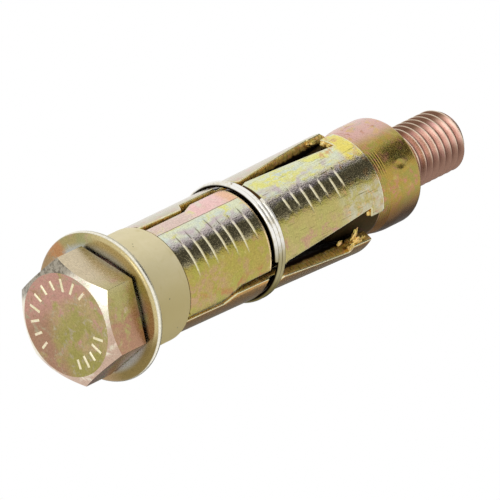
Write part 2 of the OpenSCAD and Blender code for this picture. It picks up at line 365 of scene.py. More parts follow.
# Height along one pitch, and the share of the thread's depth there
thread_form = [
    (0.0, 0.0), (0.09, 0.03), (0.16, 0.14), (0.28, 0.50), (0.40, 0.86), (0.45, 0.97), (0.50, 1.0),
    (0.55, 0.97), (0.60, 0.86), (0.72, 0.50), (0.84, 0.14), (0.91, 0.03)]


def rolled_thread(low, high):
    """Points and faces of a right-hand thread that runs past both heights."""
    turns = int((high - low) / thread_pitch) + 4
    rows = turns * len(thread_form)
    points = []
    for i in range(thread_sides):
        angle = 2 * math.pi * i / thread_sides
        for row in range(rows):
            turn, part = divmod(row, len(thread_form))
            share, depth = thread_form[part]
            z = low + (turn - 2 + share + i / thread_sides) * thread_pitch
            r = thread_r - thread_depth * (1 - depth)
            r = min(r, thread_r - (z - (high - tip_chamfer)))
            points.append((r * math.cos(angle), r * math.sin(angle), z))
    faces = []
    for i in range(thread_sides):
        for row in range(rows - 1):
            here = i * rows + row
            # The last column meets the first one a whole pitch further on
            beside = here + rows if i < thread_sides - 1 else row + len(thread_form)
            if i < thread_sides - 1 or beside + 1 < rows:
                faces.append((here, beside, beside + 1, here + 1))
    return points, faces


# The thread is cut off square at both ends and closed there
shape = bmesh.new()
mesh = bpy.data.meshes.new("thread")
thread_points, thread_faces = rolled_thread(thread_start, thread_end)
mesh.from_pydata(thread_points, [], thread_faces)
shape.from_mesh(mesh)
for height, outward in ((thread_start, -1), (thread_end, 1)):
    everything = shape.verts[:] + shape.edges[:] + shape.faces[:]
    bmesh.ops.bisect_plane(
        shape, geom=everything, plane_co=(0, 0, height), plane_no=(0, 0, outward), clear_outer=True)
    open_edges = [edge for edge in shape.edges if edge.is_boundary]
    rim = [edge for edge in open_edges if all(abs(v.co.z - height) < 1e-7 for v in edge.verts)]
    bmesh.ops.edgeloop_fill(shape, edges=rim)
shape.verts.index_update()
shank_points = [tuple(v.co) for v in shape.verts]
shank_faces = [tuple(v.index for v in face.verts) for face in shape.faces]
shape.free()
bpy.data.meshes.remove(mesh)


def crest_and_root(tree, place, colour):
    """Painted light and shade: cream highlights on the crests and a bright front band, dark red-brown roots
    and browner sides.
    """
    radius = from_axis(tree, place)
    x, _, z = add(tree, "SeparateXYZ", {0: place}).outputs
    root = between(tree, radius, 0, 4.22, 0.36)
    crest = between(tree, radius, 4.86, 99, 0.14)
    tip = between(tree, z, thread_end / mm - 0.1, 99, 0.1)
    upper_side = between(tree, x, -99, -3.0, 1.6)
    front = between(tree, x, -2.6, 1.8, 2.0)
    low_side = between(tree, x, 1.8, 99, 2.6)
    # The crests and the front band are painted highlights, the roots and the two sides painted shade
    return laid_over(tree, colour, [
        (upper_side, "7a5846"), (front, "efc4b4"), (crest, "e6d4bc"), (low_side, "947262"),
        (root, "5a3430"), (tip, "8f806a")])


def turned(profile, sides=160, closed=True):
    """Points and faces of a profile of (r, z) turned round the axis."""
    turns = [2 * math.pi * i / sides for i in range(sides)]
    return skin([[(r * math.cos(t), r * math.sin(t), z) for t in turns] for r, z in profile], closed)


# Rolling leaves the flanks smooth, so the coppery film has little grain; its soft bright bands are partly
# painted highlights
thread_film = passivated_zinc(
    "rolled_thread_yellow_zinc", ("c48c78", "b28c70", "cc8f92", "c6a694"), patch_mm=3.0, roughness=0.34,
    grain_mm=0.14, grain_depth_mm=0.006, painter=crest_and_root)
plain_shank = turned([(shank_r, head_height), (shank_r, thread_start + 0.2 * mm)], thread_sides, closed=False)
thread_parts = [(shank_points, shank_faces, 0), (*plain_shank, 0)]
piece("bolt_thread", thread_parts, [thread_film], "bolt", ["hex_bolt"], sharp_deg=50)


# The washer is stamped from sheet, so its front edge is rolled over. It is yellow passivated like the
# bolt, olive with a blue-grey tinge next to the head and one orange bloom, and its rim carries a painted
# highlight.

washer_low, washer_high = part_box("washer")
washer_r = washer_high.x
washer_off_centre = Vector((-0.05, 0.15, 0)) * mm
washer_hole_r = 5.275 * mm
hole_edge = 0.1 * mm
rolled_edge = 0.75 * mm
back_edge = 0.7 * mm
# A ring of points half way across each flat face keeps its faces short
flat_r = 8.0 * mm
washer_profile = (
    [(washer_hole_r + hole_edge, washer_low.z), (flat_r, washer_low.z)]
    + round_corner(washer_r - rolled_edge, washer_low.z + rolled_edge, rolled_edge, -90, 0, 7)
    + round_corner(washer_r - back_edge, washer_high.z - back_edge, back_edge, 0, 90, 5)
    + [(flat_r, washer_high.z), (washer_hole_r + hole_edge, washer_high.z)]
    + [(washer_hole_r, washer_high.z - hole_edge), (washer_hole_r, washer_low.z + hole_edge)])


def grey_by_the_head(tree, place, colour):
    """The film is thin and blue-grey near the head and blooms orange in one place; the rim is pale, with a
    painted highlight along its front edge.
    """
    own = add(tree, "VectorMath", {0: place, 1: tuple(washer_off_centre / mm)}, operation="SUBTRACT")
    radius = from_axis(tree, own.outputs[0])
    bloom_centre = (-10.0, 2.6, washer_low.z / mm)
    bloom = add(tree, "VectorMath", {0: place, 1: bloom_centre}, operation="DISTANCE").outputs["Value"]
    near_head = between(tree, radius, 0, 9.5, 1.4)
    orange = between(tree, bloom, -1, 1.7, 1.4)
    x, y, height = add(tree, "SeparateXYZ", {0: place}).outputs
    rim = between(tree, radius, washer_r / mm - 0.12, 99, 0.12)
    front = between(tree, height, 0, washer_low.z / mm + 0.75, 0.3)
    ragged = overlap(tree, orange, patches(tree, place, 1.4, 0.36, 0.52, 7))
    # The pale rim, brightest on its front edge, is a painted highlight
    return laid_over(tree, colour, [
        (between(tree, y, -99, -5.0, 4.0), "c9b886"), (between(tree, x, 7.5, 99, 3.0), "877446"),
        (between(tree, y, 3.0, 99, 4.0), "a58a66"), (near_head, "b4b7b4"),
        (ragged, "b8875c"), (rim, "b5ae92"), (overlap(tree, rim, front), "f3eedd")])


# Flat cold-rolled sheet under the film: broad calm patches, with a painted highlight on the rim
washer_film = passivated_zinc(
    "stamped_washer_yellow_zinc", ("a89a68", "9f9c6c", "b0967c", "b4b09c"), patch_mm=3.0, roughness=0.26,
    grain_mm=0.22, grain_depth_mm=0.010, painter=grey_by_the_head)
washer_points, washer_faces = turned(washer_profile)
washer_points = [Vector(p) + washer_off_centre for p in washer_points]
washer_parts = [(washer_points, washer_faces, 0)]
piece("washer_stamped", washer_parts, [washer_film], "sleeve", ["washer"])


# The ferrule is moulded in a khaki plastic. It keeps the segments together in its counterbore and takes
# the head's push. Its surface is matt and even, with a few dark specks and a soft rounded rim.

ferrule_low, ferrule_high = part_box("ferrule")
ferrule_r = ferrule_high.x
ferrule_hole_r = 5.325 * mm
counterbore_r = 7.6 * mm
counterbore_z = ferrule_high.z - 2.4 * mm
ferrule_rim = 0.3 * mm
ferrule_foot = 0.25 * mm
ferrule_profile = (
    [(ferrule_hole_r, ferrule_low.z)]
    + round_corner(ferrule_r - ferrule_foot, ferrule_low.z + ferrule_foot, ferrule_foot, -90, 0, 4)
    + [(ferrule_r, ferrule_low.z + 2.5 * mm), (ferrule_r, ferrule_low.z + 5 * mm)]
    + round_corner(ferrule_r - ferrule_rim, ferrule_high.z - ferrule_rim, ferrule_rim, 0, 90, 8)
    + [(counterbore_r, ferrule_high.z), (counterbore_r, counterbore_z), (ferrule_hole_r, counterbore_z)])


def moulded_plastic(name):
    """Moulded polypropylene: a khaki with a matt, faintly clouded skin, on which light falls softly,
    painted lighter and warmer on its low side as painted light.
    """
    material, tree, output = blank_material(name)
    place = millimetres(tree)
    # Specks of dust and zinc, a fifth of a millimetre across and few
    dirt = add(tree, "TexVoronoi", {"Vector": place, "Scale": 1 / 1.9}, feature="F1").outputs["Distance"]
    lone = add(tree, "MapRange", {"Value": dirt, "From Min": 0.075, "From Max": 0.03}).outputs[0]
    # Painted light: the low side of the ferrule is lighter and warmer
    low_side = between(tree, add(tree, "SeparateXYZ", {0: place}).outputs[0], 2.0, 99, 9.0)
    colour = laid_over(tree, linear("c8bc92"), [
        (patches(tree, place, 4.0, 0.35, 0.70, 1, 3), "cec29c"),
        (patches(tree, place, 2.2, 0.55, 0.75, 2), "c0b384"),
        (low_side, "d9c684"), (lone, "6d6448")])
    texture = add(tree, "TexNoise", {"Vector": place, "Scale": 1 / 0.25, "Detail": 3}).outputs[0]
    bump = add(tree, "Bump", {"Height": texture, "Strength": 1.0, "Distance": 0.010 * mm})
    gloss = add(tree, "MapRange", {
        "Value": texture, "From Min": 0.3, "From Max": 0.7, "To Min": 0.42, "To Max": 0.56})
    shader = add(tree, "BsdfPrincipled", {
        "Base Color": colour, "Roughness": gloss.outputs[0], "Normal": bump.outputs[0]})
    shader.inputs["IOR"].default_value = 1.49
    tree.links.new(shader.outputs[0], output.inputs[0])
    return material


ferrule_parts = [(*turned(ferrule_profile), 0)]
ferrule_plastic = moulded_plastic("moulded_khaki_plastic")
piece("ferrule_moulded", ferrule_parts, [ferrule_plastic], "sleeve", ["ferrule"])


# The shield is three segments pressed from 2 mm sheet and rolled round the bolt. Each is sheared along
# its slots, which leaves rough gold edges, and the first is stamped with curved strokes, here plain ticks.
# They lie loose in the ring, so two of them have slid or leaned a little, and one tab tore off short.

segment_low, segment_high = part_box("shield_segment_1")
tongue_z = segment_low.z
far_z = segment_high.z
shield_r = 8.7 * mm
far_r = 8.95 * mm
inner_r = 6.7 * mm
mouth_r = 7.6 * mm
narrow_mouth_r = 7.12 * mm
tongue_r = 7.5 * mm
groove_depth = 0.35 * mm
shoulder_z = ferrule_high.z + 0.05 * mm
groove_low = shoulder_z + 18.2 * mm
groove_high = groove_low + 3.2 * mm
bevel_z = far_z - 0.9 * mm
bevel_in = 0.7 * mm
mouth_slope = math.tan(math.radians(8))
mouth_z = far_z - (mouth_r - inner_r) / mouth_slope
# The height that the step from the tongue to the full radius takes up
hair = 0.01 * mm

# Outer and inner radius along the height
outer_levels = [
    (tongue_z, tongue_r), (shoulder_z - hair, tongue_r), (shoulder_z, shield_r), (groove_low, shield_r),
    (groove_low + groove_depth, shield_r - groove_depth),
    (groove_high - groove_depth, shield_r - groove_depth),
    (groove_high, shield_r), (bevel_z, far_r), (far_z, far_r - bevel_in)]
inner_levels = [(tongue_z, inner_r), (mouth_z, inner_r), (far_z, mouth_r)]
# The inner radius down the middle of the snug segment
middle_levels = [
    (tongue_z, inner_r), (mouth_z, inner_r), (far_z - 2.4 * mm, inner_r + 0.06 * mm),
    (far_z, narrow_mouth_r)]
half_width = 8.8 * mm


def radius_at(levels, z):
    """The radius at a height, between the levels given."""
    return float(np.interp(z, [level[0] for level in levels], [level[1] for level in levels]))


def inner_at(point, snug):
    """The inner radius at a point of the flat pattern. A snug segment's middle lies close to the cone."""
    wide = radius_at(inner_levels, point.y)
    if not snug:
        return wide
    share = min(1.0, (point.x / half_width) ** 2)
    return radius_at(middle_levels, point.y) * (1 - share) + wide * share


right_jog = shoulder_z + 7.8 * mm
left_jog = shoulder_z + 8.6 * mm
vee_z = shoulder_z + 20.8 * mm
tab_z = far_z - 3.7 * mm
edge_step = 0.55 * mm
corner_r = 0.16 * mm
arc_per_degree = math.radians(1) * shield_r


def left_tab(torn):
    """The angle of the left edge of a segment's left tab, which the tear narrows as well."""
    return -62.0 + 4.0 * torn / mm


def outline_of(jog_z, jog_length, vee_deg, end_deg, torn):
    """A segment's outline as angles from its middle in degrees and heights, going round by its right edge.
    The right slot widens from vee_deg to end_deg, and the left tab tore off short by the length torn."""
    right_edge = [
        (53.8, tongue_z), (53.8, shoulder_z), (57.4, jog_z), (46.2, jog_z + jog_length),
        (46.2, vee_z + 0.8 * mm), ((49.2 + vee_deg) / 2, vee_z + 0.8 * mm), (vee_deg, vee_z + 1.6 * mm),
        (end_deg, tab_z), (40.0, tab_z)]
    far_end = [(40.0, far_z), (-4.0, far_z), (-24.0, far_z - torn), (left_tab(torn), far_z - torn)]
    left_edge = [
        (left_tab(torn), tab_z - torn * 1.25), (-44.4, tab_z - torn * 1.25), (-54.4, vee_z + 1.6 * mm),
        (-51.4, vee_z + 0.4 * mm), (-61.2, vee_z + 0.1 * mm), (-61.2, left_jog + 2.6 * mm),
        (-54.0, left_jog), (-54.0, tongue_z)]
    return right_edge + far_end + left_edge


def rounded(corners, radius):
    """The outline with each corner cut by a short arc."""
    made = []
    for i, corner in enumerate(corners):
        back = (corners[i - 1] - corner).normalized()
        ahead = (corners[(i + 1) % len(corners)] - corner).normalized()
        room = min((corners[i - 1] - corner).length, (corners[(i + 1) % len(corners)] - corner).length)
        reach = min(radius, room * 0.4)
        start, end = corner + back * reach, corner + ahead * reach
        for t in (0, 0.25, 0.5, 0.75, 1):
            made.append((start * (1 - t) + corner * t) * (1 - t) + (corner * (1 - t) + end * t) * t)
    return made


def stepped(loop):
    """The loop with more points on its long edges, and one wherever the profile changes."""
    heights = [level[0] for level in outer_levels + inner_levels]
    made = []
    for start, end in zip(loop, loop[1:] + loop[:1]):
        number = round((end - start).length / edge_step)
        cuts = {0.0} | {i / number for i in range(number)}
        if abs(end.y - start.y) > 1 * mm:
            low, high = min(start.y, end.y), max(start.y, end.y)
            cuts |= {(z - start.y) / (end.y - start.y) for z in heights if low < z < high}
        made += [start.lerp(end, cut) for cut in sorted(cuts)]
    return made


def inwards(loop):
    """The direction across the loop at each of its points, towards its inside."""
    made = []
    for i in range(len(loop)):
        run = (loop[(i + 1) % len(loop)] - loop[i - 1]).normalized()
        made.append(Vector((-run.y, run.x)))
    return made


def on_shield(flat, r):
    """A point of the flat pattern at that radius, for a segment whose middle faces -Y."""
    turn = flat.x / shield_r - math.pi / 2
    return (r * math.cos(turn), r * math.sin(turn), flat.y)


# Stamped ticks, one group on each side of the ring: the first one's height, the step, and where they start
# and end round the shield. The strokes were struck unevenly, so each differs a little
tick_groups = [
    (shoulder_z + 2.6 * mm, 2.25 * mm, -4.7, 1.9), (groove_high + 3.6 * mm, 1.95 * mm, -3.1, 0.9)]
ticks_in_group = 7
uneven = random.Random(11)
ticks = []
for first_z, step, first_x, last_x in tick_groups:
    for i in range(ticks_in_group):
        z = first_z + (i + uneven.uniform(-0.14, 0.14)) * step
        start = (first_x + uneven.uniform(-0.8, 0.6)) * mm
        end = (last_x + uneven.uniform(-0.9, 0.8)) * mm
        ticks.append((z, start, end))
tick_low = -6.0 * mm
tick_high = 3.0 * mm
tick_lean = 0.05
tick_bow = 0.004 / mm
bow_middle = -1.8 * mm
tick_depth = 0.16 * mm
tick_half = 0.20 * mm
start_fade = 0.9 * mm
end_fade = 1.3 * mm
# Where rows of points cross a tick, in mm from its middle line
tick_rows = [-0.38, -0.28, -0.19, -0.10, -0.02, 0.06, 0.14, 0.22, 0.32]


def tick_line(z, x):
    """The height of a tick that stands at z, where it crosses the arc position x."""
    return z + tick_lean * x + tick_bow * (x - bow_middle) ** 2 * 0.5


def tick_share(flat):
    """How much of the full depth of a tick is pressed in at a point of the flat pattern."""
    share = 0.0
    for z, start, end in ticks:
        fade = min(1.0, max(0.0, (flat.x - start) / start_fade), max(0.0, (end - flat.x) / end_fade))
        off = abs(flat.y - tick_line(z, flat.x))
        share = max(share, fade * (1 - off / tick_half))
    return share


# The points of the flat pattern that the faces are drawn through stand this far apart, and this far from
# the edge, and across a tick they stand closer
column_step = 0.6 * mm
row_step = 0.7 * mm
edge_margin = 0.22 * mm
tick_step = 0.35 * mm
tick_room = 0.6 * mm
grid_left = -9.6 * mm
grid_right = 9.0 * mm


def kept_inside(grid, loop):
    """The points inside the loop and clear of its edge. From one inside, a level line to the right crosses
    the loop an odd number of times."""
    starts = np.array([tuple(p) for p in loop])
    run = np.roll(starts, -1, axis=0) - starts
    offset = grid[:, None, :] - starts[None]
    share = np.clip((offset * run[None]).sum(2) / (run ** 2).sum(1)[None], 0, 1)
    gap = np.linalg.norm(offset - share[..., None] * run[None], axis=2).min(1)
    ends_y = starts[:, 1] + run[:, 1]
    crosses = (starts[None, :, 1] > grid[:, None, 1]) != (ends_y[None] > grid[:, None, 1])
    safe = np.where(run[:, 1] == 0, 1e-12, run[:, 1])
    where = starts[None, :, 0] + (grid[:, None, 1] - starts[None, :, 1]) / safe[None] * run[None, :, 0]
    inside = (crosses & (grid[:, None, 0] < where)).sum(1) % 2 == 1
    return grid[inside & (gap > edge_margin)]


def grid_inside(loop, stamped):
    """Points inside the outline: coarse all over, with close rows across the ticks where it is stamped."""
    grid = []
    rows = {round(z / mm, 3) for z in np.arange(tongue_z + 0.5 * mm, far_z, row_step)}
    rows |= {round(level[0] / mm, 3) for level in outer_levels[1:-1]}
    for row in sorted(rows):
        near = stamped and min(abs(row * mm - tick[0]) for tick in ticks) < tick_room
        for x in np.arange(grid_left, grid_right, column_step):
            if not near or x < tick_low or x > tick_high:
                grid.append((x, row * mm))
    if stamped:
        for z, start, end in ticks:
            for offset in tick_rows:
                for x in np.arange(start - 0.2 * mm, end + 0.4 * mm, tick_step):
                    grid.append((x, tick_line(z, x) + offset * mm))
    return kept_inside(np.array(grid), loop)


def sheet(loop, inner_points, radius_of, kind, under):
    """A triangulated face of the segment over its flat pattern, at the radius of each point."""
    flat = [Vector(p) / mm for p in loop] + [Vector(p) / mm for p in inner_points]
    ring = [(i, (i + 1) % len(loop)) for i in range(len(loop))]
    points, _, faces, _, _, _ = delaunay_2d_cdt(flat, ring, [], 1, 1e-5)
    points = [p * mm for p in points]
    faces = [tuple(face)[::-1] if under else tuple(face) for face in faces]
    return [on_shield(p, radius_of(p)) for p in points], faces, kind


# The wall's rows: the inset from the outline in mm, the depth, and the roughness in mm. The depth is a share
# of the wall, but in the rounded outer edge, where it is under 0.2, it is in mm
edge_inset = 0.16
wall_form = [
    (edge_inset, 0.0, 0), (0.05, 0.05, 0), (0.0, 0.16, 0), (0.0, 0.30, 0.015), (0.0, 0.50, 0.03),
    (0.0, 0.75, 0.03), (edge_inset, 1.0, 0)]


def segment_parts(outline, torn, snug, stamped):
    """The segment's skin, its sheared edges and its inner face, for the segment whose middle faces -Y."""
    corners = [Vector((angle * arc_per_degree, z)) for angle, z in outline]
    edge = stepped(rounded(corners, corner_r))
    if sum(a.x * b.y - b.x * a.y for a, b in zip(edge, edge[1:] + edge[:1])) < 0:
        edge.reverse()
    across = inwards(edge)
    top = [point + inward * edge_inset * mm for point, inward in zip(edge, across)]
    grid = grid_inside(top, stamped)

    def outer_r(point):
        """The outer radius, less the depth of a tick where the segment is stamped."""
        return radius_at(outer_levels, point.y) - (tick_depth * tick_share(point) if stamped else 0.0)

    outer = sheet(top, grid, outer_r, 0, False)
    inner = sheet(top, grid[::5], lambda p: inner_at(p, snug), 2, True)

    # The sheared wall between the two faces, with a painted highlight on its rounded outer edge, is roughest
    # at the tabs
    waver = random.Random(7)
    loops = []
    for shift, depth, rough in wall_form:
        ring = []
        for point, inward in zip(edge, across):
            at_tab = tab_z - torn - 0.7 * mm < point.y < far_z - torn - 0.2 * mm
            ragged = 5.0 if at_tab else 1.0
            at = point + inward * (shift + waver.uniform(-0.3, 1.0) * rough * ragged) * mm
            high, low = outer_r(at), inner_at(at, snug)
            ring.append(on_shield(at, high - depth * mm if depth < 0.2 else high + (low - high) * depth))
        loops.append(ring)
    wall_points, wall_faces = skin(loops)
    # The first two strips round the outer edge carry the painted highlight
    highlight_faces = wall_faces[:2 * len(edge)]
    sheared = wall_faces[2 * len(edge):6 * len(edge)]
    return [outer, (wall_points, highlight_faces, 3), (wall_points, sheared, 1), inner]


def burr(angle, z, r, sizes, seed):
    """A torn crumb of steel on a segment's edge, where the press parted the tabs."""
    centre = Vector(on_shield(Vector((angle * arc_per_degree, z)), r))
    outward = Vector((centre.x, centre.y, 0)).normalized()
    around = Vector((-outward.y, outward.x, 0))
    upward = Vector((0, 0, 1))
    shape = bmesh.new()
    bmesh.ops.create_icosphere(shape, subdivisions=3, radius=1)
    points = []
    for vert in shape.verts:
        swell = 1 + 0.5 * noise.noise(vert.co * 1.6 + Vector((seed, 0, 0)))
        swell += 0.2 * noise.noise(vert.co * 4 + Vector((0, seed, 0)))
        reach = outward * vert.co.x * sizes[0] + around * vert.co.y * sizes[1]
        reach += upward * vert.co.z * sizes[2]
        points.append(centre + reach * swell * mm)
    faces = [tuple(v.index for v in face.verts) for face in shape.faces]
    shape.free()
    return points, faces, 1


def burrs(torn):
    """Crumbs left where the tabs were parted: angle, height, radius, and half sizes in mm across the wall,
    round the shield and along it. The torn segment keeps a sliver that reaches across the slot."""
    end, root, tab = far_z - torn, tab_z - torn * 1.25, left_tab(torn)
    crumbs = [
        burr(38.8, far_z - 2.9 * mm, 8.1 * mm, (0.40, 0.40, 0.85), 1),
        burr(36.8, tab_z - 0.1 * mm, 8.2 * mm, (0.45, 0.5, 0.35), 2),
        burr(tab + 1.2, end - 2.4 * mm, 8.2 * mm, (0.40, 0.45, 0.9), 3),
        burr(tab + 4.5, root - 0.1 * mm, 8.3 * mm, (0.45, 0.55, 0.4), 4),
        burr(-50.5, root - 0.05 * mm, 8.3 * mm, (0.40, 0.5, 0.3), 5),
        burr(tab + 1.0, end - 1.3 * mm, 8.0 * mm, (0.35, 0.35, 0.5), 6)]
    if torn:
        crumbs.append(burr(tab - 8.0, root + 0.35 * mm, 7.95 * mm, (0.28, 1.45, 0.50), 7))
        crumbs.append(burr(tab - 3.5, root + 0.9 * mm, 8.3 * mm, (0.35, 0.60, 0.70), 8))
        crumbs.append(burr(-54.3, far_z - 8.7 * mm, 7.5 * mm, (0.22, 0.55, 0.55), 10))
        crumbs.append(burr(tab + 1.5, root - 0.1 * mm, 8.6 * mm, (0.30, 0.65, 0.55), 9))
    return crumbs


def groove_shade_and_bevel_highlight(tree, place, colour):
    """Painted shade, a dark brown, in the groove under the ring, and a pale painted highlight along the bevel
    of the far end.
    """
    height = add(tree, "SeparateXYZ", {0: place}).outputs[2]
    groove = between(tree, height, groove_low / mm + 0.12, groove_high / mm + 0.02, 0.16)
    rim = between(tree, height, bevel_z / mm - 0.08, bevel_z / mm + 0.24, 0.14)
    return laid_over(tree, colour, [(groove, "49331a"), (rim, "efebd6")])


def film_along_the_skin(tree, place, colour):
    """Pale green, yellow and lilac above, grey where the skin turns dark, olive gold below, a pink strip by
    the upper slot, orange blooms low down, a painted highlight along the groove's edge, fine scratches along
    the axis and ticks painted with reflections."""
    flat = add(tree, "UVMap", uv_map="skin").outputs[0]
    spread = add(tree, "VectorMath", {0: flat, "Scale": 1 / mm}, operation="SCALE").outputs[0]
    # The borders of the colours wander by up to 1.5 mm, in waves of about 2 mm
    wander = add(tree, "TexNoise", {"Vector": place, "Scale": 1 / 2.0, "Detail": 4, "Roughness": 0.6})
    shift = add(tree, "VectorMath", {0: wander.outputs["Color"], 1: (0.5, 0.5, 0.5)}, operation="SUBTRACT")
    wandered = add(tree, "VectorMath", {
        0: shift.outputs[0], 1: (3.0, 3.0, 0), 2: spread}, operation="MULTIPLY_ADD")
    moved = wandered.outputs[0]
    arc = add(tree, "SeparateXYZ", {0: moved}).outputs[0]
    straight, height, _ = add(tree, "SeparateXYZ", {0: spread}).outputs
    jog, ring = right_jog / mm, groove_low / mm
    upper = between(tree, arc, -99, -0.8, 2.4)
    past_ring = between(tree, height, ring + 2, 99, 2)
    before_ring = between(tree, height, 0, ring, 2)
    far_end = between(tree, height, 53, 99, 4)
    by_the_bevel = between(tree, height, bevel_z / mm - 3.4, bevel_z / mm, 1.4)
    edge_strip = overlap(
        tree, between(tree, straight, -99, -5.9, 0.4), patches(tree, place, 1.8, 0.22, 0.50, 19))
    streaked = add(tree, "VectorMath", {0: moved, 1: (1.0, 0.28, 1.0)}, operation="MULTIPLY").outputs[0]
    broad = add(tree, "VectorMath", {0: spread, 1: (1.0, 0.55, 1.0)}, operation="MULTIPLY").outputs[0]
    coats = [
        (upper, "dee1c0"),
        (overlap(tree, upper, patches(tree, broad, 2.6, 0.44, 0.66, 13, 2)), "d3dcd0"),
        (overlap(tree, upper, patches(tree, broad, 1.9, 0.52, 0.66, 11, 3)), "e2df84"),
        (overlap(tree, past_ring, between(tree, arc, -99, -2.4, 1.5),
                 patches(tree, streaked, 1.5, 0.44, 0.60, 14, 3)), "e6e186"),
        (overlap(tree, between(tree, arc, -4.8, -1.6, 1.2),
                 patches(tree, broad, 2.0, 0.40, 0.64, 12, 3)), "cbbcbc"),
        (between(tree, arc, -3.4, -2.3, 1.2), "ccbfbc"),
        (between(tree, arc, -2.2, 0.1, 0.8), "b3a780"),
        (overlap(tree, edge_strip, between(tree, height, 0, jog + 0.6, 2.4)), "e0c6ba"),
        (overlap(tree, edge_strip, between(tree, height, jog + 0.6, ring, 2.4)), "f0c6c0"),
        (overlap(tree, edge_strip, between(tree, height, ring - 2.2, ring, 1.6)), "eebf9c"),
        # A painted highlight: a thin peach line along the groove's edge
        (between(tree, height, ring - 0.30, ring - 0.02, 0.10), "ecd0a0"),
        (overlap(tree, before_ring, between(tree, arc, 5.4, 99, 2.0),
                 patches(tree, place, 2.2, 0.46, 0.64, 9)), "b5854f"),
        (overlap(tree, between(tree, height, 0, jog, 4), between(tree, arc, 2.0, 7.0, 2.0),
                 patches(tree, place, 1.6, 0.46, 0.64, 15)), "bd9c74"),
        (overlap(tree, by_the_bevel, between(tree, arc, -99, -3.0, 1.4),
                 patches(tree, place, 1.6, 0.30, 0.52, 20)), "ecdb70"),
        (overlap(tree, past_ring, between(tree, arc, 0.6, 99, 1.5), 0.35), "c9be8c"),
        (overlap(tree, past_ring, between(tree, arc, 3.2, 99, 1.5),
                 patches(tree, place, 2.0, 0.50, 0.66, 16)), "be967c"),
        (overlap(tree, far_end, between(tree, arc, 0.8, 99, 1.5),
                 patches(tree, place, 1.5, 0.38, 0.64, 17)), "c6c0a4"),
        (overlap(tree, far_end, patches(tree, place, 1.4, 0.54, 0.68, 18)), "d6ad78")]
    colour = laid_over(tree, colour, coats)
    # Hairlines about a tenth of a millimetre wide along the axis, and one long line by the upper slot
    drawn = add(tree, "VectorMath", {0: spread, 1: (6.0, 0.18, 1.0)}, operation="MULTIPLY").outputs[0]
    hairs = add(tree, "TexNoise", {"Vector": drawn, "Scale": 1.0, "Detail": 3, "Roughness": 0.6}).outputs[0]
    scratch = overlap(tree, between(tree, hairs, 0.64, 99, 0.06), between(tree, height, ring + 2, 99, 9))
    line = overlap(tree, between(tree, straight, -5.98, -5.88, 0.08), before_ring)
    # Painted reflections on the ticks: the dark side of the room where the skin is pale, and the white side
    # elsewhere
    struck = add(tree, "Attribute", attribute_name="struck").outputs["Fac"]
    shadowed = overlap(tree, struck, between(tree, straight, -99, -2.9, 1.0))
    lit = overlap(tree, struck, between(tree, straight, -2.9, 99, 1.0))
    colour = laid_over(tree, colour, [
        (scratch, "77713f"), (line, "75644f"), (shadowed, "57502c"), (lit, "f6efd0")])
    return groove_shade_and_bevel_highlight(tree, place, colour)


def brown_by_the_slot(tree, place, colour):
    """The film is thicker and browner on the side of the second segment that faces the first one."""
    y = add(tree, "SeparateXYZ", {0: place}).outputs[1]
    near = between(tree, y, -99, -1.6, 3.2)
    mottle = patches(tree, place, 1.8, 0.44, 0.62, 24)
    colour = laid_over(tree, colour, [(near, "c4924a"), (overlap(tree, near, mottle), "b08a4a")])
    return groove_shade_and_bevel_highlight(tree, place, colour)


def painted_shade_in_the_slot(tree, place, colour):
    """The press burnished the wall next to the skin and left striations; further in it is painted nearly
    black as shade.
    """
    wander = add(tree, "TexNoise", {"Vector": place, "Scale": 1 / 1.2, "Detail": 2}).outputs[0]
    shift = add(tree, "MapRange", {
        "Value": wander, "From Min": 0.3, "From Max": 0.7, "To Min": -0.14, "To Max": 0.14})
    depth = add(tree, "Math", {0: from_axis(tree, place), 1: shift.outputs[0]}, operation="ADD").outputs[0]
    along = add(tree, "VectorMath", {0: place, 1: (0.3, 0.3, 1.0)}, operation="MULTIPLY").outputs[0]
    lines = overlap(tree, patches(tree, along, 0.32, 0.50, 0.62, 31), 0.55)
    return laid_over(tree, colour, [(lines, "6a4c1c"), (between(tree, depth, 0, 7.62, 0.35), "22180c")])


# Pressing leaves the skin glossy over coarse crystals, so it mirrors the room in grainy bands
first_film = passivated_zinc(
    "pressed_shield_yellow_zinc", ("b1a052", "aca44e", "b79b66", "b9ad66"), patch_mm=2.8, roughness=0.15,
    grain_mm=0.26, grain_depth_mm=0.034, spread=0.24, painter=film_along_the_skin)
# The two segments at the sides have a finer grain: the lower one's gold film is darkened as painted shade,
# the upper one's film is paler as painted light
second_film = passivated_zinc(
    "shaded_shield_gold_zinc", ("b69c56", "aaa052", "b9935f", "c2b06e"), patch_mm=2.2, roughness=0.20,
    grain_mm=0.17, grain_depth_mm=0.012, painter=brown_by_the_slot)
third_film = passivated_zinc(
    "upper_shield_pale_zinc", ("cfc3b0", "c9c4aa", "d2b2a2", "dad4c4"), patch_mm=2.0, roughness=0.18,
    grain_mm=0.17, grain_depth_mm=0.010, painter=groove_shade_and_bevel_highlight)
# Sheared steel took a thick film, so the edges glow gold, with a broken, satin shine
sheared_film = passivated_zinc(
    "sheared_edge_gold_zinc", ("ecc878", "d8c870", "eab884", "faf0c0"), patch_mm=0.9, roughness=0.42,
    grain_mm=0.20, grain_depth_mm=0.022, painter=painted_shade_in_the_slot)
# The inside is dull, and painted nearly black as the shade inside the shield and its slots
inner_shade_film = passivated_zinc(
    "inner_face_painted_shade_zinc", ("33281a", "2c2718", "35241a", "3c3222"), patch_mm=2.5, roughness=0.80)
# A painted highlight: a thin pale line round each segment's rounded outer edge, where it catches the light
edge_highlight_film = passivated_zinc(
    "edge_highlight_pale_zinc", ("e6dfb4", "d8d3a8", "e4c8a8", "efebd0"), patch_mm=1.2, roughness=0.22,
    grain_mm=0.18, grain_depth_mm=0.008)

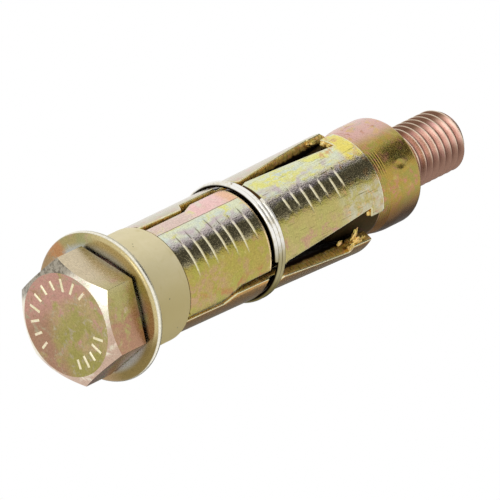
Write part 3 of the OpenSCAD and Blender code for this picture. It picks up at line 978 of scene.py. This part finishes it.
# For each segment: its film; the start and length of the jog in its right slot, and the angles between
# which that slot widens; the length torn off its left tab and whether it is snug; its slide and lean
segments = [
    (first_film, (right_jog, 4.0 * mm, 44.8, 31.0), (0.0, False), (0.0, 0.0)),
    (second_film, (right_jog, 4.0 * mm, 44.8, 31.0), (2.4 * mm, True), (-4.0, 1.5)),
    (third_film, (right_jog + 1.2 * mm, 1.5 * mm, 57.0, 38.0), (0.0, False), (3.0, 0.0))]
rock_r = shield_r - 1 * mm
rock_z = shoulder_z + 14.4 * mm
for index, (film, slot, (torn, snug), (slide_deg, lean_deg)) in enumerate(segments):
    jog_z, jog_length, vee_deg, end_deg = slot
    outline = outline_of(jog_z, jog_length, vee_deg, end_deg, torn)
    parts = segment_parts(outline, torn, snug, index == 0) + burrs(torn)
    to_line = Matrix.Translation((0, -rock_r, rock_z))
    rocked = to_line @ Matrix.Rotation(math.radians(lean_deg), 4, "X") @ to_line.inverted()
    facing = math.radians(120 * index + slide_deg)
    turn = Matrix.Rotation(facing, 4, "Z") @ rocked
    turned_parts = [([turn @ Vector(p) for p in points], faces, kind) for points, faces, kind in parts]
    made = piece(
        f"segment_{index + 1}_pressed", turned_parts, [film, sheared_film, inner_shade_film, edge_highlight_film],
        f"segment_{index + 1}", [f"shield_segment_{index + 1}"], sharp_deg=38)
    # The painters find their place on the skin by the flat pattern, and the ticks by their depth
    flat_map = made.data.uv_layers.new(name="skin")
    struck = made.data.attributes.new("struck", "FLOAT", "POINT")
    flats = []
    for vert in made.data.vertices:
        turned_by = math.atan2(vert.co.y, vert.co.x) + math.pi / 2 - facing
        around = (turned_by + math.pi) % (2 * math.pi) - math.pi
        flats.append(Vector((around * shield_r, vert.co.z)))
    struck.data.foreach_set("value", [tick_share(flat) if index == 0 else 0.0 for flat in flats])
    for loop in made.data.loops:
        flat_map.data[loop.index].uv = flats[loop.vertex_index]


# The ring is one length of bright drawn spring wire, wound a little over two turns and slipped into the
# groove round the segments. Its ends are cut square. It is the only piece without the yellow film.

wire_r = 0.375 * mm
wire_turns = 2.17
wire_start = math.radians(-114.5)
wire_gap = 0.03 * mm
ring_slack = 0.25 * mm
ring_r = shield_r - groove_depth + ring_slack + wire_r
ring_top = (groove_low + groove_high) / 2 + (2 * wire_r + wire_gap) * wire_turns / 2
end_share = 0.86
wire_sides = 18
steps_per_turn = 110
wire_steps = int(steps_per_turn * wire_turns)
section = [2 * math.pi * j / wire_sides for j in range(wire_sides)]
rings = []
for i in range(wire_steps + 1):
    turn = wire_start + 2 * math.pi * wire_turns * i / wire_steps
    z = ring_top - (2 * wire_r + wire_gap) * wire_turns * i / wire_steps
    size = wire_r * (end_share if i in (0, wire_steps) else 1.0)
    ring = []
    for s in section:
        r = ring_r + size * math.cos(s)
        ring.append((r * math.cos(turn), r * math.sin(turn), z + size * math.sin(s)))
    rings.append(ring)


def drawn_wire(name):
    """Bright drawn steel wire: nearly white, with painted shade between its turns and towards its lower side,
    and die lines along it.
    """
    material, tree, output = blank_material(name)
    place = millimetres(tree)
    inner = between(tree, from_axis(tree, place), 0, (ring_r / mm) + 0.10, 0.20)
    x = add(tree, "SeparateXYZ", {0: place}).outputs[0]
    # Painted shade: dark on the inside between the turns, and darker towards the lower side
    colour = laid_over(tree, linear("f4f2ec"), [
        (patches(tree, place, 2.0, 0.45, 0.65, 1), "e2dac6"),
        (patches(tree, place, 0.9, 0.60, 0.75, 2), "aaa08c"),
        (between(tree, x, 4.0, 99, 4.0), "a29871"), (between(tree, x, 8.0, 99, 1.6), "6e6438"),
        (inner, "2f2719")])
    lines = add(tree, "TexNoise", {"Vector": place, "Scale": 1 / 0.2, "Detail": 3}).outputs[0]
    bump = add(tree, "Bump", {"Height": lines, "Strength": 1.0, "Distance": 0.003 * mm})
    gloss = add(tree, "MapRange", {
        "Value": lines, "From Min": 0.3, "From Max": 0.7, "To Min": 0.08, "To Max": 0.18})
    shader = add(tree, "BsdfPrincipled", {
        "Base Color": colour, "Roughness": gloss.outputs[0], "Normal": bump.outputs[0]})
    shader.inputs["Metallic"].default_value = 1.0
    tree.links.new(shader.outputs[0], output.inputs[0])
    return material


ring_parts = [(*skin(rings), 0)]
ring_wire = drawn_wire("bright_drawn_wire")
piece("spring_ring_wire", ring_parts, [ring_wire], "sleeve", ["spring_ring"], sharp_deg=60)


# The nut is turned from bar: a cone that wedges the segments apart, a collar with a rounded rim and a
# thread through it. The tool's lines still show next to the shield, and the collar has one small dent.

nut_low, nut_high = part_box("cone_nut")
nut_r = nut_high.x
bore_r = 4.975 * mm
cone_r = 7.55 * mm
cone_slope = math.tan(math.radians(10.1))
small_r = cone_r - 8.4 * mm * cone_slope
collar_low = far_z + (nut_r - cone_r) / cone_slope
collar_rim = 0.6 * mm
bore_chamfer = 0.7 * mm
dent_turn = math.radians(-86)
dent_z = collar_low + 1.0 * mm
dent_size = 0.80 * mm
dent_depth = 0.11 * mm
line_pitch = 0.42 * mm
line_depth = 0.030 * mm
line_count = 5


def cone_at(z):
    """The cone's radius at a height."""
    return cone_r + (z - far_z) * cone_slope


cone_profile = [
    (small_r - 0.4 * mm, nut_low.z), (small_r + 0.07 * mm, nut_low.z + 0.4 * mm), (cone_r, far_z)]
for i in range(line_count):
    z = far_z + 0.3 * mm + i * line_pitch
    cut_r = cone_at(z) - line_depth
    cone_profile += [
        (cone_at(z), z), (cut_r, z + line_pitch * 0.30), (cut_r, z + line_pitch * 0.45),
        (cone_at(z + line_pitch * 0.7), z + line_pitch * 0.7)]
collar_profile = [(cone_at(z), z) for z in (collar_low - 1.2 * mm, collar_low - 0.6 * mm)]
collar_profile += [(nut_r - 0.055 * mm, collar_low - 0.1 * mm), (nut_r - 0.012 * mm, collar_low + 0.35 * mm)]
# Close rings up the collar carry the dent
collar_profile += [(nut_r, collar_low + step * 0.32 * mm) for step in range(2, 13)]
nut_profile = (
    cone_profile + collar_profile
    + round_corner(nut_r - collar_rim, nut_high.z - collar_rim, collar_rim, 0, 90, 8)
    + [(bore_r + bore_chamfer, nut_high.z), (bore_r, nut_high.z - bore_chamfer)]
    + [(bore_r, nut_low.z + 0.5 * mm), (bore_r + 0.3 * mm, nut_low.z)])
nut_points, nut_faces = turned(nut_profile, 300)
# The cone's surface inside the shield is a face of its own, because it is rougher there and painted dark as
# shade
wedge_faces = [face for face in nut_faces if all(nut_points[i][2] < far_z + 0.01 * mm for i in face)]
collar_faces = [face for face in nut_faces if any(nut_points[i][2] >= far_z + 0.01 * mm for i in face)]


def dented(point):
    """The point pushed in where something knocked the collar, or raised a little in the lip round that."""
    x, y, z = point
    r = math.hypot(x, y)
    off = math.hypot((math.atan2(y, x) - dent_turn) * nut_r, (z - dent_z) * 0.7) / dent_size
    if off > 1.6 or r < nut_r - 0.5 * mm:
        return point
    push = dent_depth * (math.exp(-(off * 1.6) ** 2) - 0.35 * math.exp(-((off - 1.05) * 4) ** 2))
    return ((r - push) / r * x, (r - push) / r * y, z)


def rosy_above(tree, place, colour):
    """Pink with yellow and orange blooms on the nut's upper side, and dark brown painted shade towards its
    underside.
    """
    x = add(tree, "SeparateXYZ", {0: place}).outputs[0]
    upper = between(tree, x, -99, -5.0, 2.4)
    # Painted shade: dark brown towards the nut's underside
    lower = between(tree, x, 5.7, 99, 3.2)
    return laid_over(tree, colour, [
        (upper, "dab0a5"), (overlap(tree, upper, patches(tree, place, 1.7, 0.52, 0.64, 21)), "d8b27a"),
        (overlap(tree, upper, patches(tree, place, 1.2, 0.56, 0.68, 22)), "b9b090"),
        (patches(tree, place, 1.6, 0.58, 0.70, 23), "c08a6a"), (lower, "6a4716")])


# Turned steel under the film: gold with rosy parts, dark brown painted shade below, and a sheen that varies
# in patches
nut_film = passivated_zinc(
    "turned_nut_yellow_zinc", ("b2964a", "a3984e", "bc8c66", "beab62"), patch_mm=2.2, roughness=0.22,
    grain_mm=0.17, grain_depth_mm=0.018, spread=0.28, painter=rosy_above)
# The wedge is rough, so it stays dull instead of mirroring the room, and it is painted dark brown as the
# shade in the slots
wedge_shade_film = passivated_zinc(
    "wedge_painted_shade_zinc", ("4a3a20", "43391f", "4e3524", "5a4c2e"), patch_mm=1.5, roughness=0.75)
nut_points = [dented(p) for p in nut_points]
nut_parts = [(nut_points, collar_faces, 0), (nut_points, wedge_faces, 1)]
piece("cone_nut_turned", nut_parts, [nut_film, wedge_shade_film], "nut", ["cone_nut"], sharp_deg=28)


# The studio: a pale floor that only the camera sees from above, white all round, two soft lamps above the
# anchor as the photo shows it and one beside the camera. Two dark cards, seen only in reflections, put the
# broad dark band along the shield and the nut.

middle = Vector((2.2, 1.6, 41.4)) * mm
view_distance = 1.203
view_rise = math.radians(-44.66)
view_turn = math.radians(0.15)
view_roll = math.radians(63.75)
focal_px = 8210.5
image_px = 500

level_share = math.cos(view_rise)
toward = Vector((math.sin(view_turn) * level_share, math.cos(view_turn) * level_share, -math.sin(view_rise)))
camera_data = bpy.data.cameras.new("camera")
camera_data.sensor_width = 36.0
camera_data.lens = focal_px / image_px * camera_data.sensor_width
camera_data.clip_start = 0.01
camera_data.clip_end = 20.0
camera = bpy.data.objects.new("camera", camera_data)
camera.rotation_mode = "QUATERNION"
rolled = Matrix.Rotation(view_roll, 3, "Z").to_quaternion()
camera.rotation_quaternion = toward.to_track_quat("-Z", "Y") @ rolled
camera.location = middle - toward * view_distance
bpy.context.scene.collection.objects.link(camera)
bpy.context.scene.camera = camera

world = bpy.data.worlds.new("white_studio")
world.use_nodes = True
tree = world.node_tree
tree.nodes.clear()
ray = add(tree, "LightPath").outputs
seen = add(tree, "Math", {0: ray["Is Camera Ray"], 1: ray["Is Glossy Ray"]}, operation="MAXIMUM").outputs[0]
seen = add(tree, "Math", {0: seen, 1: ray["Is Transmission Ray"]}, operation="MAXIMUM").outputs[0]
ambient = add(tree, "Background", {"Color": linear("ffffff"), "Strength": 0.55})
backdrop = add(tree, "Background", {"Color": linear("ffffff"), "Strength": 1.0})
mixed = add(tree, "MixShader", {0: seen, 1: ambient.outputs[0], 2: backdrop.outputs[0]})
add(tree, "OutputWorld", {0: mixed.outputs[0]})
bpy.context.scene.world = world


def lamp(name, direction, distance, size, power, glossy=True):
    """A square soft lamp that faces the middle of the anchor."""
    data = bpy.data.lights.new(name, "AREA")
    data.size = size
    data.energy = power
    made = bpy.data.objects.new(name, data)
    made.location = middle + Vector(direction).normalized() * distance
    made.rotation_mode = "QUATERNION"
    made.rotation_quaternion = Vector(direction).normalized().to_track_quat("Z", "Y")
    made.visible_glossy = glossy
    bpy.context.scene.collection.objects.link(made)


lamp("key", (-0.80, -0.30, 0.45), 0.60, 0.45, 1.0, glossy=False)
lamp("shaping", (-0.85, -0.45, 0.10), 0.60, 0.30, 1.4, glossy=False)
lamp("front", (-0.25, -0.35, -0.88), 0.80, 0.30, 0.45)


def card(name, offset, width, height, tone):
    """A flat card that faces the middle of the anchor and shows only in reflections."""
    away = Vector(offset)
    mesh = bpy.data.meshes.new(name)
    corners = [(width / 2 * a, height / 2 * b, 0) for a, b in corner_signs]
    mesh.from_pydata(corners, [], [(0, 1, 2, 3)])
    made = bpy.data.objects.new(name, mesh)
    made.location = middle + away
    made.rotation_mode = "QUATERNION"
    made.rotation_quaternion = away.to_track_quat("Z", "Y")
    made.visible_camera = False
    made.visible_diffuse = False
    made.visible_shadow = False
    made.visible_transmission = False
    material, tree, output = blank_material(name)
    paint = add(tree, "Emission", {"Color": linear("ffffff"), "Strength": tone})
    tree.links.new(paint.outputs[0], output.inputs[0])
    mesh.materials.append(material)
    bpy.context.scene.collection.objects.link(made)


card("dark_card", (-0.11, -0.34, 0.35), 0.28, 0.40, 0.11)
card("table_card", (0.22, 0.29, 0.365), 0.42, 0.60, 0.22)

# The floor is flat rings with a cap in the middle, and it fades out towards its rim
floor_r = 0.45
floor_z = -0.05 * mm
floor_sides = 96
floor_profile = [(floor_r, floor_z), (0.25, floor_z), (0.10, floor_z), (0.02, floor_z)]
floor_points, floor_faces = turned(floor_profile, floor_sides, closed=False)
rim_cap = tuple(range(floor_sides))[::-1]
floor_mesh = bpy.data.meshes.new("floor")
floor_mesh.from_pydata(floor_points, [], [face for face in floor_faces if face != rim_cap])
floor = bpy.data.objects.new("floor", floor_mesh)
bpy.context.scene.collection.objects.link(floor)
floor.visible_glossy = False
floor.visible_diffuse = False
floor.visible_shadow = False
floor.visible_transmission = False
material, tree, output = blank_material("pale_floor")
spot = add(tree, "TexCoord").outputs["Object"]
distance = add(tree, "VectorMath", {0: spot}, operation="LENGTH").outputs["Value"]
edge = add(tree, "MapRange", {
    "Value": distance, "From Min": floor_r * 0.45, "From Max": floor_r * 0.98},
    interpolation_type="SMOOTHSTEP")
below = add(tree, "NewGeometry").outputs["Backfacing"]
hidden = add(tree, "Math", {0: edge.outputs[0], 1: below}, operation="MAXIMUM").outputs[0]
cloud = add(tree, "TexNoise", {"Vector": spot, "Scale": 9.0, "Detail": 2}).outputs[0]
pale = laid_over(tree, linear("f4f3f1"), [(cloud, "f8f7f5")])
surface = add(tree, "BsdfDiffuse", {"Color": pale})
clear = add(tree, "BsdfTransparent")
shown = add(tree, "MixShader", {0: hidden, 1: surface.outputs[0], 2: clear.outputs[0]})
tree.links.new(shown.outputs[0], output.inputs[0])
floor_mesh.materials.append(material)

bpy.context.scene.view_settings.view_transform = "Standard"
